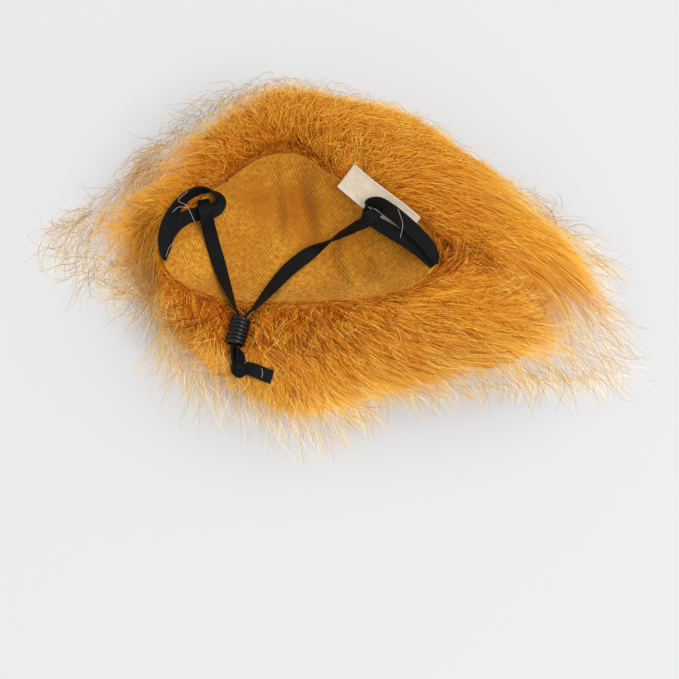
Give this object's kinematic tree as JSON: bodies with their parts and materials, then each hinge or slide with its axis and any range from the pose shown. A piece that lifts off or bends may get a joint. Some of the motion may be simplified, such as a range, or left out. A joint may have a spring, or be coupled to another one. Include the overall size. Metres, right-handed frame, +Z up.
{
  "type": "pet wig",
  "caption": "Furry wig cap for a cat or small dog, lying lining up: a fur cloth bowl with a folded lining, sewn ear loops, an elastic chin strap, a ribbed cord lock and a blank label.",
  "frame": {"origin": "middle of the whole wig in plan, on the surface that it lies on", "axes": "+X to the side that the long fur is swept to, -Y from the label's edge towards the knot of the chin strap, +Z up out of the open lining"},
  "size_m": [0.2428, 0.1742, 0.0441],
  "materials": {
    "lining_knit": "thin mustard knit with a fine slanting rib, soft and matte",
    "fur_pile": "long fine golden faux fur, reddish at the roots and pale at the tips, with a soft sheen",
    "label_tape": "blank cream-white satin tape with a faint sheen",
    "elastic": "black flat braided elastic, matte with a fine rib",
    "lock_plastic": "black moulded plastic with soft highlights on its ribs"
  },
  "bodies": {
    "root": {"lining": "lining_knit", "fur": "fur_pile", "label": "label_tape", "ear_loop_left": "elastic", "ear_loop_right": "elastic", "chin_strap_left": "elastic", "chin_strap_right": "elastic", "cord_lock": "lock_plastic", "strap_knot": "elastic", "strap_tail": "elastic"}
  },
  "joints": []
}
